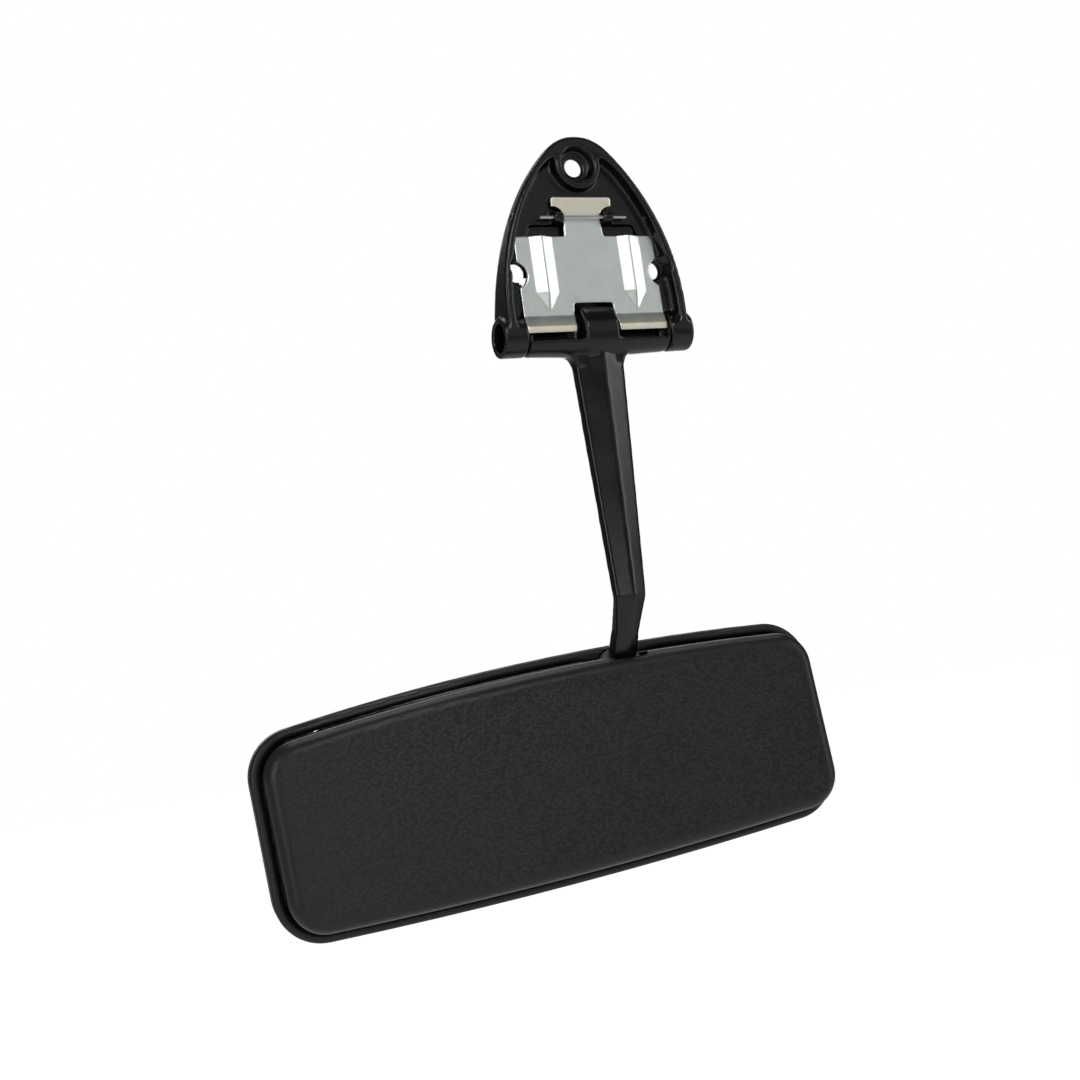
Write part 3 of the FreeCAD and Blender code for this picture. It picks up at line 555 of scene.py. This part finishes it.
@dataclass
class Skin:
    """A visible piece made from one of the frame's solids.

    Attributes:
        node: The frame's node.
        body: The body that it rides on.
        slot: The record's material slot; not used.
        finish: What it is dressed in.
        voxel: Size of the cells that it is rebuilt from, metres; nothing keeps its own faces.
        passes: How often its rebuilt surface is relaxed, which sets how round its edges are.
        crease: Angle over which an edge stays sharp, degrees, where its own faces are kept.
    """

    node: str
    body: Body
    slot: str
    finish: Finish
    voxel: float | None = None
    passes: int = 9
    crease: float = 32.0

    def build(self) -> bpy.types.Object:
        """Copy the solid, weld it, soften it and dress it.

        Returns:
            The piece.
        """
        source = frame["nodes"][self.node]
        mesh = bpy.data.meshes.new(self.node + "_skin")
        work = bmesh.new()
        work.from_mesh(source.data)
        bmesh.ops.remove_doubles(work, verts=work.verts, dist=WELD)
        work.to_mesh(mesh)
        work.free()
        piece = bpy.data.objects.new(self.node + "_skin", mesh)
        bpy.context.collection.objects.link(piece)
        mesh.materials.clear()
        mesh.materials.append(self.finish.material())
        for polygon in mesh.polygons:
            polygon.use_smooth = True
            polygon.material_index = 0
        if self.voxel:
            self.rebuild(piece)
        else:
            mesh.set_sharp_from_angle(angle=math.radians(self.crease))
            even = piece.modifiers.new("even_normals", "WEIGHTED_NORMAL")
            even.keep_sharp = True
        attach(piece, self.body.value)
        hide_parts(self.node)
        log.info("%s: %d faces", piece.name, len(mesh.polygons))
        return piece

    def rebuild(self, piece: bpy.types.Object) -> None:
        """Rebuild the piece in even cells and relax it, so that every edge is gently round.

        Args:
            piece: The piece, which gets the modifiers.
        """
        cells = piece.modifiers.new("even_cells", "REMESH")
        cells.mode = "VOXEL"
        cells.voxel_size = self.voxel
        cells.use_smooth_shade = True
        relax = piece.modifiers.new("soft_edges", "SMOOTH")
        relax.factor = 0.5
        relax.iterations = self.passes


# ---------------------------------------------------------------- sub-assemblies

@dataclass
class Base:
    """The screw-on base: casting, leaf spring, wire and bushes.

    Attributes:
        paint: The casting's paint.
        plating: The leaf spring's plating.
        wire: The wire's steel.
        nylon: The bushes' nylon.
        cell: Size of the rebuilt casting's cells, metres.
        sheet_cell: Size of the rebuilt spring's cells, metres.
    """

    paint: Finish
    plating: Finish
    wire: Finish
    nylon: Finish
    cell: float = 0.5 * MM
    sheet_cell: float = 0.28 * MM

    def build(self) -> list[bpy.types.Object]:
        """Build every piece of the base.

        Returns:
            The pieces.
        """
        pieces = [
            Skin("base_casting", Body.BASE, "black_casting", self.paint, self.cell).build(),
            Skin("leaf_spring", Body.BASE, "spring_steel", self.plating, self.sheet_cell).build(),
            Skin("retaining_wire", Body.BASE, "steel", self.wire).build(),
        ]
        for side in Side:
            pieces.append(Skin(f"hinge_bush_{side.value}", Body.BASE, "grey_nylon", self.nylon).build())
        return pieces


@dataclass
class Arm:
    """The folding arm with the pin and the ball at its end.

    Attributes:
        paint: The casting's paint.
        steel: The pin's steel.
        ball: The ball's plastic.
        cell: Size of the rebuilt casting's cells, metres.
        passes: How often its surface is relaxed.
    """

    paint: Finish
    steel: Finish
    ball: Finish
    cell: float = 0.36 * MM
    passes: int = 60

    def build(self) -> list[bpy.types.Object]:
        """Build the arm's pieces.

        Returns:
            The pieces.
        """
        return [
            Skin("arm_casting", Body.ARM, "black_casting", self.paint, self.cell, self.passes).build(),
            Skin("ball_pin", Body.ARM, "steel", self.steel).build(),
            Skin("pivot_ball", Body.BALL, "ball_plastic", self.ball).build(),
        ]


@dataclass
class Head:
    """The mirror head: rim, back shell, glass and the parts that hold the ball.

    Attributes:
        rim: The rim's plastic.
        shell: The back shell's grained plastic.
        glass: The mirror glass.
        smooth: The socket's and the liner's plastic.
        steel: The sheet's and the screws' steel.
        dark: The retainer's blackened steel.
        foam: The pad's foam.
    """

    rim: Finish
    shell: Finish
    glass: Finish
    smooth: Finish
    steel: Finish
    dark: Finish
    foam: Finish

    def build(self) -> list[bpy.types.Object]:
        """Build the head's pieces.

        Returns:
            The pieces.
        """
        pieces = [
            Skin("rim_frame", Body.HEAD, "rim_plastic", self.rim).build(),
            Skin("back_shell", Body.HEAD, "grained_plastic", self.shell).build(),
            Skin("mirror_glass", Body.HEAD, "mirror_glass", self.glass).build(),
            Skin("friction_liner", Body.LINER, "liner_plastic", self.smooth).build(),
            Skin("ball_socket", Body.HEAD, "socket_plastic", self.smooth).build(),
            Skin("retainer_plate", Body.HEAD, "dark_steel", self.dark).build(),
            Skin("carrier_plate", Body.HEAD, "plate_steel", self.steel).build(),
            Skin("mounting_pad", Body.HEAD, "foam_pad", self.foam).build(),
        ]
        for side in Side:
            pieces.append(Skin(f"retainer_screw_{side.value}", Body.HEAD, "dark_steel", self.dark).build())
        screws = [f"socket_screw_{side.value}" for side in Side]
        screws += [f"carrier_screw_{number}" for number in range(1, 5)]
        pieces += [Skin(name, Body.HEAD, "steel", self.steel).build() for name in screws]
        return pieces


# ---------------------------------------------------------------- studio

@dataclass
class SoftBox:
    """One soft light.

    Attributes:
        name: The light's name.
        place: Where it stands, metres.
        size: Its width and height, metres.
        power: Its power in watts.
    """

    name: str
    place: tuple[float, float, float]
    size: tuple[float, float]
    power: float

    def build(self, target: Vector) -> None:
        """Stand the light and turn it to the target.

        Args:
            target: What it lights.
        """
        lamp = bpy.data.lights.new(self.name, "AREA")
        lamp.shape = "RECTANGLE"
        lamp.size, lamp.size_y = self.size
        lamp.energy = self.power
        holder = bpy.data.objects.new(self.name, lamp)
        holder.location = self.place
        holder.rotation_euler = (target - Vector(self.place)).to_track_quat("-Z", "Y").to_euler()
        bpy.context.collection.objects.link(holder)


@dataclass
class Studio:
    """A pale floor, a bright surround, soft lights and the camera.

    Attributes:
        eye: Where the camera stands, metres.
        ahead: The way that it looks.
        up: Its upward axis.
        lens: Its focal length in millimetres, on a 36 mm sensor.
        drop: How far below the object the floor lies, metres.
        reach: Half the floor's width, metres.
        glow: The floor's glow in reflections, and to the camera.
        haze: The surround's level in reflections, and to the camera.
    """

    eye: tuple[float, float, float] = (-0.2264, -0.4398, -0.1322)
    ahead: tuple[float, float, float] = (0.4039, 0.9114, 0.0786)
    up: tuple[float, float, float] = (0.0946, -0.1271, 0.9874)
    lens: float = 46.67
    drop: float = 0.35
    reach: float = 6.0
    glow: tuple[float, float] = (0.22, 0.95)
    haze: tuple[float, float] = (0.08, 1.0)

    def build(self) -> None:
        """Set the floor, the surround, the lights and the camera."""
        low, high = Vector(CAD_BOX[0]), Vector(CAD_BOX[1])
        middle = (low + high) / 2
        self.floor(low.z - self.drop)
        self.surround()
        for light in (SoftBox("key", (-0.16, -1.1, 0.5), (0.4, 0.3), 3.4),
                      SoftBox("left", (-1.0, -0.45, 0.15), (0.4, 0.9), 4.6),
                      SoftBox("front", (-0.35, -1.3, -0.25), (0.5, 0.35), 1.0),
                      SoftBox("counter", (0.5, -1.0, 0.3), (0.55, 0.75), 0.62),
                      SoftBox("right", (0.9, -0.55, 0.1), (0.3, 0.9), 2.6),
                      SoftBox("top", (0.1, 0.2, 0.9), (0.9, 0.6), 4.5),
                      SoftBox("cabin", (0.3, 0.9, 0.1), (0.8, 0.8), 3.5)):
            light.build(middle)
        self.camera()

    def floor(self, height: float) -> None:
        """Lay the floor.

        Args:
            height: Its height, metres.
        """
        work = bmesh.new()
        bmesh.ops.create_grid(work, x_segments=2, y_segments=2, size=self.reach)
        bmesh.ops.translate(work, verts=work.verts, vec=(0.0, 0.0, height))
        mesh = bpy.data.meshes.new("floor")
        work.to_mesh(mesh)
        work.free()
        floor = bpy.data.objects.new("floor", mesh)
        bpy.context.collection.objects.link(floor)
        graph = NodeGraph("pale_floor")
        seen = graph.add("LightPath").outputs["Is Camera Ray"]
        graph.shade(Base_Color=(0.8, 0.8, 0.8, 1.0), Roughness=0.9, Emission_Color=WHITE,
                    Emission_Strength=graph.ramp(seen, 0.0, 1.0, *self.glow))
        mesh.materials.append(graph.material)

    def surround(self) -> None:
        """Light the surround: white behind the object, softer in its reflections."""
        world = bpy.data.worlds.new("surround")
        bpy.context.scene.world = world
        world.use_nodes = True
        tree = world.node_tree
        tree.nodes.clear()
        output = tree.nodes.new("ShaderNodeOutputWorld")
        blend = tree.nodes.new("ShaderNodeMixShader")
        path = tree.nodes.new("ShaderNodeLightPath")
        for number, level in enumerate(self.haze, start=1):
            background = tree.nodes.new("ShaderNodeBackground")
            background.inputs["Color"].default_value = (level, level, level, 1.0)
            tree.links.new(background.outputs[0], blend.inputs[number])
        tree.links.new(path.outputs["Is Camera Ray"], blend.inputs[0])
        tree.links.new(blend.outputs[0], output.inputs["Surface"])
        bpy.context.scene.view_settings.view_transform = "Standard"

    def camera(self) -> None:
        """Stand the camera."""
        ahead = Vector(self.ahead).normalized()
        right = ahead.cross(Vector(self.up)).normalized()
        up = right.cross(ahead)
        data = bpy.data.cameras.new("camera")
        data.lens = self.lens
        data.sensor_width = 36.0
        data.clip_start = 0.01
        camera = bpy.data.objects.new("camera", data)
        turn = Matrix((right, up, -ahead)).transposed()
        camera.matrix_world = Matrix.Translation(self.eye) @ turn.to_4x4()
        bpy.context.collection.objects.link(camera)
        bpy.context.scene.camera = camera


def head_axes() -> tuple[Matrix, Vector]:
    """The head's own axes and origin, worked out from the ball joint's three hinges.

    Returns:
        The head's axes as the rows of a matrix, and its origin in the frame, metres.
    """
    joints = {joint["name"]: joint for joint in frame["joints"]}
    along = Vector(joints["head_tilt"]["axis"]).normalized()
    out = Vector(joints["head_roll"]["axis"]).normalized()
    rows = Matrix((along, out, along.cross(out)))
    ball = Vector(joints["head_tilt"]["pos_m"])
    ball_in_head = Vector((30.6 * MM, -4.8 * MM, 29.2 * MM))
    return rows, ball - rows.transposed() @ ball_in_head


def main() -> None:
    """Build the mirror and its studio."""
    logging.basicConfig(level=logging.INFO, format="%(name)s: %(message)s")
    rows, centre = head_axes()
    turn = tuple(rows.to_euler())
    paint = PaintedCasting("black_paint", (0.003, 0.003, 0.0032), 0.25)
    plating = PlatedSteel("zinc_plating", (0.66, 0.71, 0.67), 0.34, above=19.4 * MM, below=-19.0 * MM)
    steel = PlatedSteel("bright_steel", (0.5, 0.5, 0.5), 0.32)
    nylon = MouldedPlastic("bush_nylon", (0.03, 0.03, 0.03), 0.5)
    smooth = MouldedPlastic("black_plastic", (0.018, 0.018, 0.018), 0.45)
    Base(paint, plating, steel, nylon).build()
    ball = MouldedPlastic("ball_plastic", (0.035, 0.038, 0.042), 0.5, size=3200.0, depth=0.03 * MM)
    Arm(paint, steel, ball).build()
    rim = MouldedPlastic("rim_plastic", (0.011, 0.011, 0.0102), 0.42, size=1800.0, depth=0.01 * MM)
    shell = GrainedShell("grained_plastic", (0.0165, 0.0163, 0.0148), 0.42, turn=turn, centre=tuple(centre),
                         flat=-16.2 * MM, reach=96.0 * MM, rise=(31.6 * MM, 33.0 * MM), bow=(5.0 * MM, 2.2 * MM))
    glass = SilveredGlass("silvered_glass", (0.9, 0.91, 0.92), 0.015)
    dark = PaintedCasting("blackened_steel", (0.006, 0.006, 0.006), 0.45)
    foam = MouldedPlastic("foam", (0.05, 0.05, 0.05), 0.9)
    Head(rim, shell, glass, smooth, steel, dark, foam).build()
    Studio().build()


if __name__ == "__main__":
    main()
